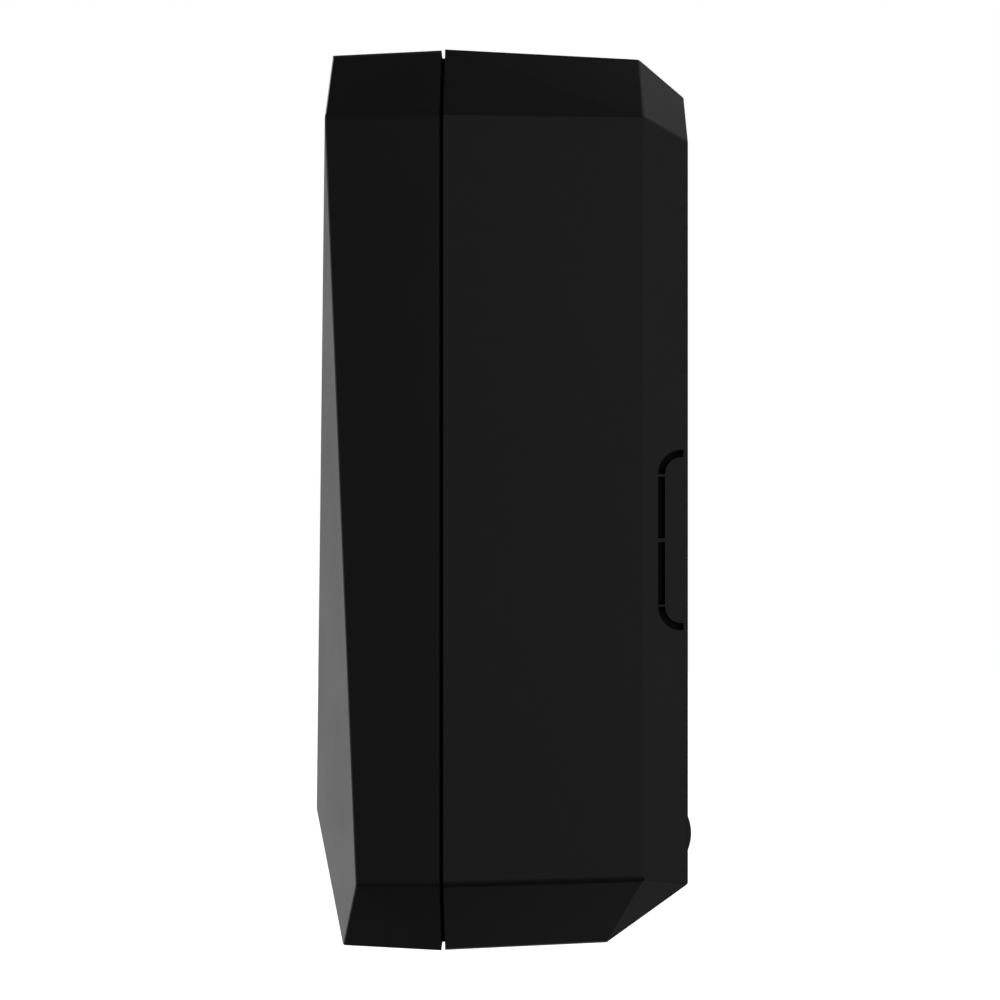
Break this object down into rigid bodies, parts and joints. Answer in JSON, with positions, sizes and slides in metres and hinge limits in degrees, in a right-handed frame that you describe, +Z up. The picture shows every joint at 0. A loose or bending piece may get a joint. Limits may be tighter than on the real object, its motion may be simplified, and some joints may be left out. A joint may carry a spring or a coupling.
{
  "type": "soap dispenser",
  "caption": "Faceted wall mounted soap dispenser with a bottom hinged cover, a bottle refill, a geared pump lift and a battery box.",
  "frame": {"origin": "middle of the wall screw pattern, on the wall plane", "axes": "+X to the right as seen from the room, +Y into the wall, +Z up"},
  "size_m": [0.125, 0.1226, 0.289],
  "materials": {
    "black_shell": "satin moulded, fine grained on the facets",
    "bumper_rubber": "matte",
    "smoked_window": "polished, smoked",
    "infrared_window": "polished, dark red",
    "steel": "plated",
    "cam_brass": "pressed",
    "grey_plastic": "moulded",
    "battery_sleeve": "printed sleeve without marks",
    "wire_jacket": "smooth jacket",
    "black_part": "moulded",
    "motor_can": "drawn can",
    "gear_resin": "natural acetal",
    "bottle_resin": "milky, blow moulded",
    "collar_plastic": "ribbed",
    "pump_white": "moulded",
    "touch_orange": "moulded",
    "circuit_green": "solder mask",
    "clear_lamp": "cast clear"
  },
  "bodies": {
    "housing": {"back_housing": "black_shell", "wall_bumpers": "bumper_rubber", "hinge_pins": "steel", "battery_box": "grey_plastic", "battery_1": "battery_sleeve", "battery_2": "battery_sleeve", "battery_3": "battery_sleeve", "battery_4": "battery_sleeve", "battery_contacts": "steel", "battery_box_screws": "steel", "power_harness": "wire_jacket", "supply_socket": "black_part", "drive_chassis": "grey_plastic", "chassis_screws": "steel", "motor": "motor_can", "motor_screws": "steel", "gear_axles": "steel", "gearbox_cover": "grey_plastic", "gearbox_screws": "steel", "guide_rods": "steel", "refill_bottle": "bottle_resin", "refill_collar": "collar_plastic", "neck_gasket": "bumper_rubber", "pump_cylinder": "pump_white", "pump_spring": "steel", "latch_screw": "steel", "circuit_board": "circuit_green", "board_parts": "black_part", "board_screws": "steel", "switch_base": "black_part", "dose_button_base": "black_part", "sensor_board": "circuit_green", "ir_emitter": "clear_lamp", "ir_receiver": "black_part", "sensor_window": "infrared_window"},
    "cover": {"front_cover": "black_shell", "level_window": "smoked_window", "lock_catch": "grey_plastic", "catch_screws": "steel"},
    "lock": {"lock_barrel": "steel", "lock_cam": "cam_brass"},
    "battery_lid": {"battery_door": "grey_plastic"},
    "pump_lift": {"lift_yoke": "gear_resin", "pump_nozzle": "pump_white"},
    "output_wheel": {"output_gear": "gear_resin"},
    "middle_wheel": {"compound_gear": "gear_resin"},
    "motor_rotor": {"motor_shaft": "steel", "motor_pinion": "gear_resin"},
    "latch": {"refill_latch": "touch_orange"},
    "switch": {"switch_slider": "pump_white"},
    "button": {"dose_button": "touch_orange"}
  },
  "joints": [
    {"name": "cover_hinge", "type": "hinge", "parent": "housing", "child": "cover", "pos_m": [0, -0.065, -0.139], "axis": [1, 0, 0], "range_deg": [0, 95]},
    {"name": "lock_turn", "type": "hinge", "parent": "housing", "child": "lock", "pos_m": [0, -0.07, 0.135], "axis": [0, 0, -1], "range_deg": [0, 90]},
    {"name": "battery_door_hinge", "type": "hinge", "parent": "housing", "child": "battery_lid", "pos_m": [0, -0.0434, 0.0932], "axis": [1, 0, 0], "range_deg": [0, 90]},
    {"name": "pump_stroke", "type": "slide", "parent": "housing", "child": "pump_lift", "axis": [0, 0, 1], "range_m": [0, 0.008], "stiffness_N_per_m": 300, "springref_m": -0.004, "deforming": ["pump_spring"]},
    {"name": "output_spin", "type": "hinge", "parent": "housing", "child": "output_wheel", "pos_m": [-0.008, -0.04, -0.084], "axis": [0, -1, 0], "range_deg": [0, 83]},
    {"name": "middle_spin", "type": "hinge", "parent": "housing", "child": "middle_wheel", "pos_m": [-0.0272, -0.04, -0.084], "axis": [0, 1, 0], "range_deg": [0, 247]},
    {"name": "motor_spin", "type": "hinge", "parent": "housing", "child": "motor_rotor", "pos_m": [-0.0272, -0.03, -0.1024], "axis": [0, -1, 0], "range_deg": [0, 886]},
    {"name": "latch_swing", "type": "hinge", "parent": "housing", "child": "latch", "pos_m": [-0.031, -0.074, -0.056], "axis": [0, 0, -1], "range_deg": [0, 70]},
    {"name": "switch_travel", "type": "slide", "parent": "housing", "child": "switch", "axis": [1, 0, 0], "range_m": [0, 0.0025]},
    {"name": "button_press", "type": "slide", "parent": "housing", "child": "button", "axis": [0, 1, 0], "range_m": [0, 0.001], "stiffness_N_per_m": 400, "springref_m": -0.0008}
  ],
  "couplings": [
    {"joint": "output_spin", "follows": "pump_stroke", "rad_per_m": 178.57},
    {"joint": "middle_spin", "follows": "pump_stroke", "rad_per_m": 535.71},
    {"joint": "motor_spin", "follows": "pump_stroke", "rad_per_m": 1928.6}
  ]
}
